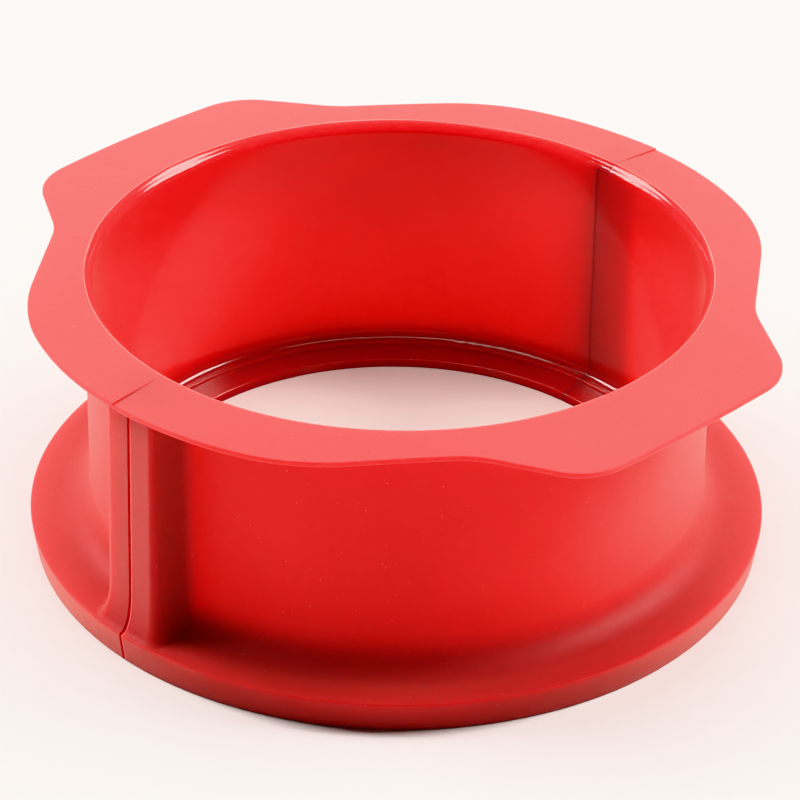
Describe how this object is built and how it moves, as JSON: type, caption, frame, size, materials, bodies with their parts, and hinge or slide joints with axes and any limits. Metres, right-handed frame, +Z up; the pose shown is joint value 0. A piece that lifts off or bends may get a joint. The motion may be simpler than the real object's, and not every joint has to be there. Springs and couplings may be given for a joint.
{
  "type": "springform cake pan",
  "caption": "Round silicone springform cake mould whose wall splits in two halves, with a grip lobe on each, around a flat ceramic base plate.",
  "frame": {"origin": "centre of the underside, on the surface that the mould stands on", "axes": "+X along the two grip lobes, the way the halves pull apart; +Z up; the seam between the halves lies in the YZ plane"},
  "size_m": [0.2308, 0.2164, 0.0865],
  "materials": {
    "red_silicone": "satin",
    "white_ceramic": "glazed"
  },
  "bodies": {
    "plate": {"base_plate": "white_ceramic"},
    "front_half": {"front_half_wall": "red_silicone"},
    "rear_half": {"rear_half_wall": "red_silicone"}
  },
  "joints": [
    {"name": "front_half_pull", "type": "slide", "parent": "plate", "child": "front_half", "axis": [1, 0, 0], "range_m": [0, 0.12]},
    {"name": "rear_half_pull", "type": "slide", "parent": "plate", "child": "rear_half", "axis": [-1, 0, 0], "range_m": [0, 0.12]}
  ]
}
